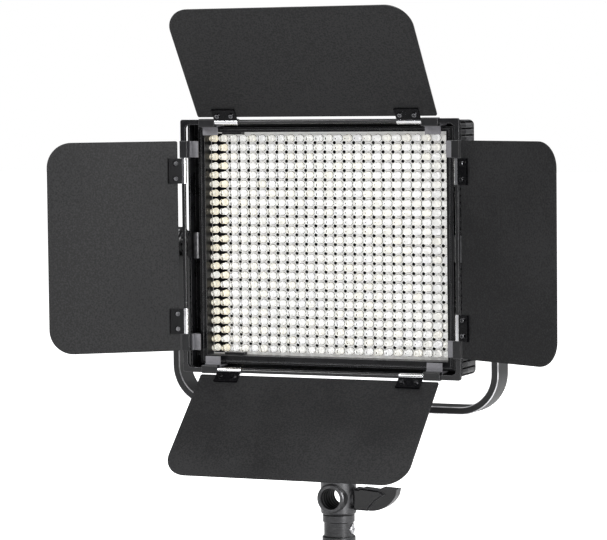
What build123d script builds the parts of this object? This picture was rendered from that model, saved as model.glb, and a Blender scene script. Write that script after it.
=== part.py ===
"""LED panel light with four barn doors, a U yoke and a 16 mm stand adapter.

Millimetres. +Z is up, the light shines towards -Y and +X is to the right of someone facing it.
The origin is the mouth of the stand socket, on the axis of the adapter.
"""
from build123d import *
from math import cos, radians, sin
import os

os.makedirs("parts", exist_ok=True)

# ---- stand adapter ----
spigot_d = 16.0
spigot_clearance = 0.1
socket_depth = 31.0
collar_d = 25.8
collar_h = 12.7
neck_d = 23.0
neck_top = 34.0
ring_d = 24.8
ring_z = 23.1
ring_h = 6.4
head_d = 27.4
head_top = 74.0
cross_z = 42.8
cross_boss_d = 22.3
cross_boss_reach = 16.5
lever_boss_d = 13.6
lever_boss_reach = 14.8
lever_hub_t = 14.0
lever_paddle_t = 9.0
stem_d = 18.0
nut_flats = 24.0
nut_h = 8.0
washer_h = 1.6
yoke_bolt_d = 8.0
clamp_screw_d = 6.0
clamp_screw_end = 23.0
neck_screw_z = 18.0
neck_screw_head_d = 8.4

# ---- yoke ----
yoke_floor = 116.5
yoke_side_gap = 16.9
yoke_lower_gap = 23.9
yoke_bar = 5.8
yoke_width = 22.0
yoke_bend = 31.0
yoke_top = 13.0
yoke_chamfer = 0.7
bolt_hole_play = 0.25

# ---- panel housing ----
panel_w = 225.0
panel_h = 191.2
panel_corner = 4.0
shell_wall = 3.0
shell_front = -14.5
shell_back = 4.0
rib_pitch = 4.95
rib_count = 37
rib_groove = 1.7
rib_depth = 0.9
rib_front = -24.0
rib_back = 0.5
rim_round = 3.5

# ---- bezel and filter channel ----
bezel_front = -25.5
ridge_front = -22.5
channel_floor = -16.5
window_side = 12.9
window_end = 9.7
window_w = panel_w - 2 * window_side
window_h = panel_h - 2 * window_end
window_rise = 1.3
ridge_side = 5.2
ridge_end = 4.8
ridge_outer_w = window_w + 2 * ridge_side
ridge_outer_h = window_h + 2 * ridge_end
bezel_lip = 1.5
skirt_wall = 1.4
board_clip_in = 20.1
board_clip_x = board_clip_in - window_w / 2
board_clip_w = 16.5
board_clip_h = 1.8
board_clip_t = 5.5
clip_tall = 20.0
clip_leg = 8.0
clip_pad = 2.6
clip_sheet = 0.7

# ---- lamp board ----
board_front = -10.5
board_t = 1.6
board_margin = 1.8
bead_columns = 25
bead_rows = 24
bead_side = 3.6
bead_end = 4.94
bead_pitch_x = (window_w - 2 * bead_side) / (bead_columns - 1)
bead_pitch_z = (window_h - 2 * bead_end) / (bead_rows - 1)
bead_d = 5.0
bead_flange_d = 5.8
bead_flange_h = 1.0
bead_h = 8.6

# ---- back cover ----
flange_t = 2.0
cover_fit = 0.2
crown_side = 12.5
crown_end = 12.6
crown_w = panel_w - 2 * crown_side
crown_h = panel_h - 2 * crown_end
crown_rise = 10.0
crown_taper = 35.0
cover_wall = 2.0
screw_inset = 4.2
lug_r = 5.2
case_screw_d = 3.0
case_screw_head_d = 5.6

# ---- controls and inside ----
driver_w = 160.0
driver_h = 92.0
driver_y = -3.0
display_drop = 35.0
display_z = crown_h / 2 - display_drop
display_w = 44.0
display_h = 18.0
dial_x = 50.0
dial_d = 20.0
dial_h = 9.0
dial_shaft_d = 6.0
switch_x = 24.0
switch_drop = 26.0
switch_z = display_z - switch_drop
switch_w = 20.0
switch_h = 13.0
rocker_pin_d = 2.4
socket_d = 11.0
inlet_bore = 6.4
inlet_depth = 9.0
vent_x = 75.0
vent_z = -22.0
vent_w = 18.0
vent_slot = 2.4
vent_pitch = 5.0
vent_count = 12
plate_x = 30.0
plate_drop = 45.0
plate_z = switch_z - plate_drop
plate_w = 40.0
plate_h = 64.0
plate_base = 2.5
rail_len = 46.0
rail_h = 2.6
latch_up = 24.0
latch_w = 12.0
latch_h = 8.0
latch_travel = 3.0

# ---- tilt pivots ----
pivot_d = 20.0
washer_t = 1.7
body_gap = 0.3
tilt_bolt_d = 6.0
bolt_fit = 0.05
knob_d = 34.0
knob_t = 13.0

# ---- barn doors ----
rod_d = 3.4
rod_y = -33.5
frame_side = 0.2
frame_end = 0.4
frame_w = panel_w - 2 * frame_side
frame_h = panel_h - 2 * frame_end
sleeve_side = 5.0
sleeve_len = 13.0
sleeve_in = 3.9
sleeve_out = 2.5
corner_run_x = 14.3
corner_run_z = 14.4
sleeve_reach_x = frame_w / 2 - corner_run_x
sleeve_reach_z = frame_h / 2 - corner_run_z
link_w = 3.8
link_t = 2.6
tab_front = -29.5
tab_t = 1.2
tab_in = -10.2
hook_in = -4.6
hook_out = -1.0
leg_out = -2.4
tab_lift = 0.2
leaf_t = 1.0
leaf_round = 19.0
leaf_start = 4.9
top_leaf_over = 0.1
top_leaf_w = 2 * (sleeve_reach_x + top_leaf_over)
top_leaf_len = 98.0
side_leaf_short = 0.05
side_leaf_w = 2 * (sleeve_reach_z - side_leaf_short)
side_leaf_len = 101.6
hinge_len = 19.4
hinge_in = 10.0
hinge_x = sleeve_reach_x - sleeve_len - hinge_in
hinge_z = sleeve_reach_z - sleeve_len - hinge_in
barrel_d = 4.6
hinge_fit = 0.05
plate_t = 0.9
plate_len = 12.2
hinge_screw_out = 6.8
hinge_screw_gap = 11.6
door_angles = {"top": 35.0, "bottom": 46.0, "left": 39.0, "right": 28.0}

spigot_r = spigot_d / 2 + spigot_clearance
yoke_half_gap = panel_w / 2 + yoke_side_gap
yoke_outer = yoke_half_gap + yoke_bar
yoke_drop = panel_h / 2 + yoke_lower_gap
axis_z = yoke_floor + yoke_drop
yoke_under = yoke_floor - yoke_bar
crown_back = shell_back + crown_rise
inner_w = panel_w - 2 * shell_wall
inner_h = panel_h - 2 * shell_wall
inner_corner = panel_corner - shell_wall
case_screw_w = inner_w - 2 * screw_inset
case_screw_h = inner_h - 2 * screw_inset
ring_top = ring_z + ring_h


def save(piece, name):
    """Label a finished piece and write it."""
    piece.part.label = name
    export_step(piece.part, f"parts/{name}.step")


def front(y):
    """Plane at depth y, facing the front; local axes are X and Z about the panel centre."""
    return Plane(origin=(0, y, axis_z), x_dir=(1, 0, 0), z_dir=(0, -1, 0))


def back(y):
    """Plane at depth y, facing the back; local X is mirrored."""
    return Plane(origin=(0, y, axis_z), x_dir=(-1, 0, 0), z_dir=(0, 1, 0))


def side(x, sign=1):
    """Plane at distance x out from the middle, facing outwards on the side that sign names."""
    return Plane(origin=(sign * x, 0, axis_z), x_dir=(0, 1, 0), z_dir=(sign, 0, 0))


def level(z):
    return Plane.XY.offset(z)


# =============================== stand adapter ===============================
def socket_sleeve():
    with BuildPart() as sleeve:
        with BuildSketch(level(0)):
            Circle(collar_d / 2)
        extrude(amount=collar_h)
        chamfer(sleeve.edges().filter_by(GeomType.CIRCLE), 0.8)
        with BuildSketch(level(collar_h)):
            Circle(neck_d / 2)
        extrude(amount=neck_top - collar_h)
        with BuildSketch(level(0)):
            Circle(spigot_r)
        extrude(amount=socket_depth, mode=Mode.SUBTRACT)
        screw_face = Plane(origin=(neck_d / 2 - 1.6, 0, neck_screw_z), z_dir=(1, 0, 0))
        with BuildSketch(screw_face):
            Circle(neck_screw_head_d / 2 + 0.2)
        extrude(amount=10, mode=Mode.SUBTRACT)
        with BuildSketch(Plane(origin=(spigot_r - 1, 0, neck_screw_z), z_dir=(1, 0, 0))):
            Circle(2.5)
        extrude(amount=5, mode=Mode.SUBTRACT)
    save(sleeve, "socket_sleeve")


def neck_screw():
    with BuildPart() as screw:
        with BuildSketch(Plane(origin=(spigot_r + 0.3, 0, neck_screw_z), z_dir=(1, 0, 0))):
            Circle(2.5)
        extrude(amount=neck_d / 2 - 1.6 - spigot_r - 0.3)
        with BuildSketch(Plane(origin=(neck_d / 2 - 1.6, 0, neck_screw_z), z_dir=(1, 0, 0))):
            Circle(neck_screw_head_d / 2)
        extrude(amount=2.4)
        fillet(screw.faces().sort_by(Axis.X)[-1].edges(), 1.2)
        with BuildSketch(Plane(origin=(neck_d / 2 - 0.4, 0, neck_screw_z), z_dir=(1, 0, 0))):
            Rectangle(4.6, 0.9)
            Rectangle(0.9, 4.6)
        extrude(amount=3, mode=Mode.SUBTRACT)
    save(screw, "neck_screw")


def lock_ring():
    with BuildPart() as ring:
        with BuildSketch(level(ring_z)):
            Circle(ring_d / 2)
            Circle(neck_d / 2, mode=Mode.SUBTRACT)
        extrude(amount=ring_h)
        rims = ring.edges().filter_by(GeomType.CIRCLE).group_by(SortBy.RADIUS)[-1]
        chamfer(rims, 0.7)
    save(ring, "lock_ring")


def adapter_head():
    with BuildPart() as head:
        with BuildSketch(level(ring_top)):
            Circle(head_d / 2)
        extrude(amount=head_top - ring_top)
        chamfer(head.edges().group_by(Axis.Z)[0], 1.2)
        chamfer(head.edges().group_by(Axis.Z)[-1], 3.5)
        with BuildSketch(Plane(origin=(0, 0, cross_z), x_dir=(1, 0, 0), z_dir=(0, -1, 0))):
            Circle(cross_boss_d / 2)
        extrude(amount=cross_boss_reach)
        chamfer(head.faces().sort_by(Axis.Y)[0].edges(), 0.8)
        with BuildSketch(Plane(origin=(0, 0, cross_z), z_dir=(1, 0, 0))):
            Circle(lever_boss_d / 2)
        extrude(amount=lever_boss_reach)
        with BuildSketch(Plane(origin=(0, 0, cross_z), x_dir=(1, 0, 0), z_dir=(0, -1, 0))):
            Circle(spigot_r)
        extrude(amount=head_d, both=True, mode=Mode.SUBTRACT)
        with BuildSketch(Plane(origin=(0, 0, cross_z), z_dir=(1, 0, 0))):
            Circle(clamp_screw_d / 2 + bolt_fit)
        extrude(amount=lever_boss_reach + 1, mode=Mode.SUBTRACT)
        with BuildSketch(level(ring_top)):
            Circle(neck_d / 2)
        extrude(amount=neck_top - ring_top, mode=Mode.SUBTRACT)
        with BuildSketch(level(head_top - 6)):
            Circle(stem_d / 2)
        extrude(amount=6, mode=Mode.SUBTRACT)
    save(head, "adapter_head")


def clamp_screw():
    """Screw turned by the lever; its tip stops at the wall of the cross socket."""
    with BuildPart() as screw:
        with BuildSketch(Plane(origin=(spigot_r + 0.2, 0, cross_z), z_dir=(1, 0, 0))):
            Circle(clamp_screw_d / 2)
        extrude(amount=clamp_screw_end - spigot_r - 0.2)
        chamfer(screw.faces().sort_by(Axis.X)[0].edges(), 0.5)
    save(screw, "clamp_screw")


def clamp_lever():
    """Wing lever: a deep hub on the screw and a curved paddle across its end."""
    start = lever_boss_reach + body_gap
    profile = Plane(origin=(0, 0, cross_z), x_dir=(1, 0, 0), z_dir=(0, -1, 0))
    heel = (26.4, -9.3)
    crest = (40.4, 3.6)
    notch = (36.1, 6.6)
    with BuildPart() as lever:
        with BuildSketch(profile):
            with BuildLine():
                Polyline((start, 7.6), (start, -9.0), heel)
                ThreePointArc(heel, (32.4, -1.8), crest)
                Polyline(crest, notch, (21.1, 8.0), (19.4, 7.0), (start, 7.6))
            make_face()
        extrude(amount=lever_hub_t / 2, both=True)
        chamfer(lever.edges().group_by(Axis.Y)[0] + lever.edges().group_by(Axis.Y)[-1], 1.2)
        with BuildSketch(profile):
            with BuildLine():
                Line((24.0, -8.6), heel)
                ThreePointArc(heel, (40.2, -6.2), (49.3, 3.6))
                Polyline((49.3, 3.6), (50.3, 8.2), (37.6, 8.9), notch, (24.0, -8.6))
            make_face()
        extrude(amount=lever_paddle_t / 2, both=True)
        with BuildSketch(Plane(origin=(start - 1, 0, cross_z), z_dir=(1, 0, 0))):
            Circle(clamp_screw_d / 2)
        extrude(amount=clamp_screw_end - start + 1, mode=Mode.SUBTRACT)
    save(lever, "clamp_lever")


def upper_stem():
    """Turned stem from the head up to the nut under the yoke."""
    stem_top = yoke_under - washer_h
    with BuildPart() as stem:
        with BuildSketch(level(head_top - 6)):
            Circle(stem_d / 2)
        extrude(amount=stem_top - nut_h - head_top + 6)
        with BuildSketch(level(stem_top - nut_h)):
            Circle(stem_d / 2 - 2)
        extrude(amount=nut_h)
        with BuildSketch(level(head_top + 10)):
            Circle(stem_d / 2 + 1)
            Circle(stem_d / 2 - 1.2, mode=Mode.SUBTRACT)
        extrude(amount=3, mode=Mode.SUBTRACT)
        with BuildSketch(level(stem_top)):
            Circle(yoke_bolt_d / 2)
        extrude(amount=-24, mode=Mode.SUBTRACT)
    save(stem, "upper_stem")


def yoke_nut():
    with BuildPart() as nut:
        with BuildSketch(level(yoke_under - washer_h - nut_h)):
            RegularPolygon(nut_flats / 2, 6, major_radius=False)
            Circle(stem_d / 2 - 2, mode=Mode.SUBTRACT)
        extrude(amount=nut_h)
        chamfer(nut.faces().sort_by(Axis.Z)[0].outer_wire().edges(), 0.7)
    save(nut, "yoke_nut")


def yoke_washers():
    with BuildPart() as washers:
        for z, outer in ((yoke_under - washer_h, nut_flats / 2), (yoke_floor, yoke_width / 2 - 1.5)):
            with BuildSketch(level(z)):
                Circle(outer)
                Circle(yoke_bolt_d / 2, mode=Mode.SUBTRACT)
            extrude(amount=washer_h)
    save(washers, "yoke_washers")


def yoke_bolt():
    head_z = yoke_floor + washer_h
    with BuildPart() as bolt:
        with BuildSketch(level(head_z - 26)):
            Circle(yoke_bolt_d / 2)
        extrude(amount=26)
        with BuildSketch(level(head_z)):
            Circle(6.8)
        extrude(amount=5)
        fillet(bolt.faces().sort_by(Axis.Z)[-1].edges(), 0.8)
        with BuildSketch(level(head_z + 5)):
            RegularPolygon(3, 6, major_radius=False)
        extrude(amount=-3, mode=Mode.SUBTRACT)
    save(bolt, "yoke_bolt")


def yoke():
    """One flat bar bent into a U, with round ends at the tilt axis."""
    tall = yoke_drop + yoke_bar + yoke_top
    mid = yoke_top - tall / 2
    inner_bend = yoke_bend - yoke_bar
    with BuildPart() as bar:
        with BuildSketch(front(yoke_width / 2)) as outline:
            with Locations((0, mid)):
                Rectangle(2 * yoke_outer, tall)
            fillet(outline.vertices().group_by(Axis.Y)[0], yoke_bend)
        extrude(amount=yoke_width)
        with BuildSketch(front(yoke_width / 2)) as hollow:
            with Locations((0, mid + yoke_bar)):
                Rectangle(2 * yoke_half_gap, tall)
            fillet(hollow.vertices().group_by(Axis.Y)[0], inner_bend)
        extrude(amount=yoke_width, mode=Mode.SUBTRACT)
        with BuildSketch(side(-yoke_outer)):
            with Locations((0, (yoke_top - yoke_width / 2 - tall) / 2)):
                Rectangle(yoke_width, tall + yoke_top - yoke_width / 2)
            with Locations((0, yoke_top - yoke_width / 2)):
                Circle(yoke_width / 2)
        extrude(amount=2 * yoke_outer, mode=Mode.INTERSECT)
        across = bar.edges().filter_by(Axis.Y, reverse=True)
        rims = across.filter_by(lambda edge: edge.length > 2 * yoke_bar)
        chamfer(rims, yoke_chamfer)
        with BuildSketch(side(-yoke_outer - 1)):
            Circle(tilt_bolt_d / 2 + bolt_hole_play)
        extrude(amount=2 * yoke_outer + 2, mode=Mode.SUBTRACT)
        with BuildSketch(level(yoke_under - 1)):
            Circle(yoke_bolt_d / 2)
        extrude(amount=yoke_bar + 2, mode=Mode.SUBTRACT)
    save(bar, "yoke")


# =============================== housing ===============================
def side_grooves():
    """Sketch of the grooves that run from front to back along both side walls."""
    with GridLocations(panel_w, rib_pitch, 2, rib_count):
        Rectangle(2 * rib_depth, rib_groove)


def main_shell():
    """Wall that runs round the lamp, ribbed at the sides, with lugs for the case screws."""
    lugs_start = board_front + board_t + body_gap
    with BuildPart() as shell:
        with BuildSketch(back(shell_front)):
            RectangleRounded(panel_w, panel_h, panel_corner)
        extrude(amount=shell_back - shell_front)
        fillet(shell.faces().sort_by(Axis.Y)[-1].edges(), rim_round - 1)
        with BuildSketch(back(shell_front)):
            RectangleRounded(inner_w, inner_h, inner_corner)
        extrude(amount=shell_back - shell_front, mode=Mode.SUBTRACT)
        with BuildSketch(back(lugs_start)):
            with GridLocations(case_screw_w, case_screw_h, 2, 2):
                Circle(lug_r)
        extrude(amount=shell_back - flange_t - lugs_start)
        with BuildSketch(back(lugs_start)):
            with GridLocations(case_screw_w, case_screw_h, 2, 2):
                Circle(case_screw_d / 2)
        extrude(amount=shell_back - lugs_start, mode=Mode.SUBTRACT)
        with BuildSketch(front(rib_back)):
            side_grooves()
        extrude(amount=rib_back - shell_front, mode=Mode.SUBTRACT)
    save(shell, "main_shell")


def front_bezel():
    """Frame round the window: an inner ridge, a filter channel and an outer wall."""
    with BuildPart() as bezel:
        with BuildSketch(back(bezel_front)):
            RectangleRounded(panel_w, panel_h, panel_corner)
        extrude(amount=shell_front - bezel_front)
        with BuildSketch(back(bezel_front)):
            RectangleRounded(panel_w - 2 * bezel_lip, panel_h - 2 * bezel_lip, panel_corner - bezel_lip)
        extrude(amount=channel_floor - bezel_front, mode=Mode.SUBTRACT)
        with BuildSketch(back(ridge_front)):
            Rectangle(ridge_outer_w, ridge_outer_h)
        extrude(amount=channel_floor - ridge_front)
        with BuildSketch(back(shell_front)):
            with Locations((0, window_rise)):
                Rectangle(window_w + 2 * skirt_wall, window_h + 2 * skirt_wall)
        extrude(amount=board_front - shell_front)
        with BuildSketch(back(bezel_front)):
            with Locations((0, window_rise)):
                Rectangle(window_w, window_h)
        extrude(amount=board_front - bezel_front, mode=Mode.SUBTRACT)
        with BuildSketch(back(ridge_front)):
            Rectangle(ridge_outer_w - 4.2, ridge_outer_h - 3)
            Rectangle(ridge_outer_w - 6, ridge_outer_h - 4.4, mode=Mode.SUBTRACT)
        extrude(amount=0.6, mode=Mode.SUBTRACT)
        with BuildSketch(front(shell_front)):
            side_grooves()
        extrude(amount=shell_front - rib_front, mode=Mode.SUBTRACT)
    save(bezel, "front_bezel")


def bezel_screws():
    """Small countersunk screws in the bezel ridge, near its corners."""
    with BuildPart() as screws:
        with BuildSketch(back(channel_floor - 1)):
            with GridLocations(panel_w - 9, panel_h - 22, 2, 2):
                Circle(1.9)
        extrude(amount=1)
        fillet(screws.faces().filter_by(Axis.Y).group_by(Axis.Y)[0].edges(), 0.5)
    save(screws, "bezel_screws")


def lamp_board():
    with BuildPart() as board:
        with BuildSketch(back(board_front)):
            with Locations((0, window_rise)):
                Rectangle(window_w + 2 * board_margin, window_h + 2 * board_margin)
        extrude(amount=board_t)
    save(board, "lamp_board")


def lamp_beads():
    """One clear LED on each grid point: a flange, a round body and a domed front."""
    straight = bead_h - bead_d / 2
    with BuildPart() as bead:
        with BuildSketch(Plane.XZ):
            with BuildLine():
                Polyline((0, bead_h), (0, 0), (bead_flange_d / 2, 0), (bead_flange_d / 2, bead_flange_h),
                         (bead_d / 2, bead_flange_h), (bead_d / 2, straight))
                RadiusArc((bead_d / 2, straight), (0, bead_h), -bead_d / 2)
            make_face()
        revolve(axis=Axis.Z)
    centre = front(board_front).location * Pos(0, window_rise, 0)
    spots = GridLocations(bead_pitch_x, bead_pitch_z, bead_columns, bead_rows)
    beads = Compound(label="lamp_beads", children=[centre * spot * bead.part for spot in spots])
    export_step(beads, "parts/lamp_beads.step")


def board_clips():
    """Two small black clips that hold the board at the left, above and below the LEDs."""
    with BuildPart() as clips:
        with BuildSketch(front(board_front)):
            for edge in (window_h / 2, -window_h / 2):
                inward = -1 if edge > 0 else 1
                with Locations((board_clip_x, window_rise + edge + inward * board_clip_h / 2)):
                    Rectangle(board_clip_w, board_clip_h)
        extrude(amount=board_clip_t)
    save(clips, "board_clips")


def side_clips():
    """Spring clips over the bezel's outer wall, one each side at mid height."""
    wall_out = panel_w / 2
    wall_in = wall_out - bezel_lip
    leg_in = wall_in - clip_sheet
    leg_out = wall_out + clip_sheet
    with BuildPart() as clips:
        with BuildSketch(level(axis_z - clip_tall / 2)):
            for sign in (1, -1):
                with Locations((sign * (wall_out + clip_sheet / 2), bezel_front + clip_leg / 2)):
                    Rectangle(clip_sheet, clip_leg)
                with Locations((sign * (leg_in + leg_out) / 2, bezel_front - clip_sheet / 2)):
                    Rectangle(leg_out - leg_in, clip_sheet)
                with Locations((sign * (wall_in - clip_sheet / 2), bezel_front + clip_leg / 2 - 0.1)):
                    Rectangle(clip_sheet, clip_leg + 0.2)
                with Locations((sign * (leg_in - clip_pad), bezel_front + 3.4)):
                    Circle(clip_pad)
                with Locations((sign * (leg_in - clip_pad), bezel_front + 3.4 + 2.4)):
                    Rectangle(2 * clip_pad, 4.8)
        extrude(amount=clip_tall)
    save(clips, "side_clips")


def back_cover():
    """Flat flange in the back of the shell and a raised crown with vents and openings."""
    with BuildPart() as cover:
        with BuildSketch(back(shell_back - flange_t)):
            RectangleRounded(inner_w - 2 * cover_fit, inner_h - 2 * cover_fit, inner_corner)
        extrude(amount=flange_t)
        with BuildSketch(back(shell_back)):
            RectangleRounded(crown_w, crown_h, 8)
        extrude(amount=crown_rise, taper=crown_taper)
        with BuildSketch(back(shell_back - flange_t)):
            RectangleRounded(crown_w - 3 * cover_wall, crown_h - 3 * cover_wall, 6)
        extrude(amount=crown_rise + flange_t - cover_wall, taper=crown_taper * 0.84, mode=Mode.SUBTRACT)
        with BuildSketch(back(shell_back - flange_t)):
            with GridLocations(case_screw_w, case_screw_h, 2, 2):
                Circle(case_screw_d / 2 + cover_fit)
        extrude(amount=flange_t, mode=Mode.SUBTRACT)
        with BuildSketch(back(crown_back - cover_wall - 1)):
            with Locations((0, display_z)):
                Rectangle(display_w, display_h)
            with Locations((dial_x, display_z), (-dial_x, display_z)):
                Circle(dial_shaft_d / 2 + 0.4)
            with Locations((switch_x, switch_z)):
                Rectangle(switch_w, switch_h)
            with Locations((-switch_x, switch_z)):
                Circle(socket_d / 2)
            for x in (-vent_x, vent_x):
                with Locations((x, vent_z)):
                    with GridLocations(0, vent_pitch, 1, vent_count):
                        SlotOverall(vent_w, vent_slot)
            with Locations((0, -crown_h / 2 + 22)):
                with GridLocations(0, vent_pitch, 1, 3):
                    SlotOverall(60, vent_slot)
        extrude(amount=cover_wall + 2, mode=Mode.SUBTRACT)
    save(cover, "back_cover")


def case_screws():
    with BuildPart() as screws:
        with BuildSketch(back(shell_back - 6)):
            with GridLocations(case_screw_w, case_screw_h, 2, 2):
                Circle(case_screw_d / 2)
        extrude(amount=6)
        with BuildSketch(back(shell_back)):
            with GridLocations(case_screw_w, case_screw_h, 2, 2):
                Circle(case_screw_head_d / 2)
        extrude(amount=1.6)
        fillet(screws.faces().filter_by(Axis.Y).group_by(Axis.Y)[-1].edges(), 0.7)
        with BuildSketch(back(shell_back + 1.7)):
            with GridLocations(case_screw_w, case_screw_h, 2, 2):
                Rectangle(3.2, 0.7)
                Rectangle(0.7, 3.2)
        extrude(amount=-0.9, mode=Mode.SUBTRACT)
    save(screws, "case_screws")


# =============================== controls and inside ===============================
def lamp_driver():
    """Circuit board that drives the lamps, with its coils, capacitors and chips."""
    with BuildPart() as driver:
        with BuildSketch(back(driver_y)):
            Rectangle(driver_w, driver_h)
        extrude(amount=board_t)
        with BuildSketch(back(driver_y + board_t)):
            with GridLocations(34, 0, 4, 1):
                with Locations((0, -driver_h / 2 + 12)):
                    Circle(6.5)
        extrude(amount=7)
        with BuildSketch(back(driver_y + board_t)):
            with GridLocations(22, 0, 5, 1):
                with Locations((0, -16)):
                    Circle(4)
        extrude(amount=8)
        with BuildSketch(back(driver_y + board_t)):
            with GridLocations(30, 0, 4, 1):
                Rectangle(9, 9)
        extrude(amount=2)
    save(driver, "driver_board")
    with BuildPart() as posts:
        with BuildSketch(back(board_front + board_t)):
            with GridLocations(driver_w - 10, driver_h - 10, 2, 2):
                RegularPolygon(2.6, 6)
        extrude(amount=driver_y - board_front - board_t)
    save(posts, "board_standoffs")


def display():
    with BuildPart() as module:
        with BuildSketch(back(crown_back - cover_wall - 4)):
            with Locations((0, display_z)):
                Rectangle(display_w + 8, display_h + 8)
        extrude(amount=1.4)
        with BuildSketch(back(crown_back - cover_wall - 2.6)):
            with Locations((0, display_z)):
                Rectangle(display_w - 3, display_h - 3)
        extrude(amount=2.4)
    save(module, "display_module")
    with BuildPart() as window:
        with BuildSketch(back(crown_back - cover_wall)):
            with Locations((0, display_z)):
                Rectangle(display_w - cover_fit, display_h - cover_fit)
        extrude(amount=cover_wall + 0.3)
        chamfer(window.faces().sort_by(Axis.Y)[-1].edges(), 0.25)
    save(window, "display_window")


def dials():
    """Two fluted dials on the shafts of their turning controls."""
    body_t = 6.0
    inside = crown_back - cover_wall
    with BuildPart() as pots:
        with BuildSketch(back(inside - body_t)):
            with Locations((dial_x, display_z), (-dial_x, display_z)):
                Rectangle(14, 14)
                Circle(dial_shaft_d / 2 + bolt_fit, mode=Mode.SUBTRACT)
        extrude(amount=body_t)
    save(pots, "dial_pots")
    for x, name in ((dial_x, "brightness_dial"), (-dial_x, "colour_dial")):
        with BuildPart() as dial:
            with BuildSketch(back(inside - body_t + 0.5)):
                with Locations((x, display_z)):
                    Circle(dial_shaft_d / 2)
            extrude(amount=body_t + cover_wall - 0.5 + body_gap)
            with BuildSketch(back(crown_back + body_gap)):
                with Locations((x, display_z)):
                    Circle(dial_d / 2)
                    with PolarLocations(dial_d / 2 + 0.2, 30):
                        Circle(0.7, mode=Mode.SUBTRACT)
            extrude(amount=dial_h)
            with BuildSketch(back(crown_back + body_gap + dial_h)):
                with Locations((x, display_z)):
                    Circle(dial_d / 2 - 2.2)
            extrude(amount=0.8)
            with BuildSketch(back(crown_back + body_gap + dial_h + 0.8)):
                with Locations((x, display_z + dial_d / 2 - 5)):
                    Rectangle(1.0, 4.5)
            extrude(amount=-0.5, mode=Mode.SUBTRACT)
        save(dial, name)


def power_controls():
    """Rocker switch in its frame, and the round inlet for a power lead."""
    pin_reach = body_gap + 0.4
    rocker_w = switch_w - 1.6 - 2 * body_gap
    rocker_h = switch_h - 1.6 - 2 * body_gap
    pivot_at = (-switch_x - rocker_w / 2, crown_back - 1, axis_z + switch_z)
    pivot = Plane(origin=pivot_at, x_dir=(0, 1, 0), z_dir=(1, 0, 0))
    with BuildPart() as frame:
        with BuildSketch(back(crown_back)):
            with Locations((switch_x, switch_z)):
                RectangleRounded(switch_w + 4, switch_h + 4, 1)
                Rectangle(switch_w - 1.6, switch_h - 1.6, mode=Mode.SUBTRACT)
        extrude(amount=1.4)
        with BuildSketch(back(crown_back)):
            with Locations((switch_x, switch_z)):
                Rectangle(switch_w - cover_fit, switch_h - cover_fit)
                Rectangle(switch_w - 1.6, switch_h - 1.6, mode=Mode.SUBTRACT)
        extrude(amount=-9)
        with BuildSketch(back(crown_back - 9)):
            with Locations((switch_x, switch_z)):
                Rectangle(switch_w - cover_fit, switch_h - cover_fit)
        extrude(amount=-1.5)
        with BuildSketch(pivot.offset(-pin_reach - bolt_fit)):
            Circle(rocker_pin_d / 2 + bolt_fit)
        extrude(amount=rocker_w + 2 * pin_reach + 2 * bolt_fit, mode=Mode.SUBTRACT)
    save(frame, "switch_body")
    with BuildPart() as rocker:
        with BuildSketch(pivot):
            with BuildLine():
                Polyline((3.0, -rocker_h / 2 + 0.6), (-4, -rocker_h / 2 + 1.4), (-4, rocker_h / 2 - 1.4),
                         (3.0, rocker_h / 2 - 0.6))
                ThreePointArc((3.0, rocker_h / 2 - 0.6), (1.9, 0), (3.0, -rocker_h / 2 + 0.6))
            make_face()
        extrude(amount=rocker_w)
        with BuildSketch(pivot.offset(-pin_reach)):
            Circle(rocker_pin_d / 2)
        extrude(amount=rocker_w + 2 * pin_reach)
    save(rocker, "rocker_switch")
    with BuildPart() as inlet:
        with BuildSketch(back(crown_back)):
            with Locations((-switch_x, switch_z)):
                Circle(socket_d / 2 + 1.6)
                Circle(inlet_bore / 2, mode=Mode.SUBTRACT)
        extrude(amount=1.2)
        with BuildSketch(back(crown_back)):
            with Locations((-switch_x, switch_z)):
                Circle(socket_d / 2 - 0.1)
                Circle(inlet_bore / 2, mode=Mode.SUBTRACT)
        extrude(amount=-inlet_depth)
        with BuildSketch(back(crown_back - inlet_depth)):
            with Locations((-switch_x, switch_z)):
                Circle(socket_d / 2 - 0.1)
        extrude(amount=-1.5)
        with BuildSketch(back(crown_back - inlet_depth)):
            with Locations((-switch_x, switch_z)):
                Circle(1.0)
        extrude(amount=inlet_depth - 1.5)
    save(inlet, "power_socket")


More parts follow.
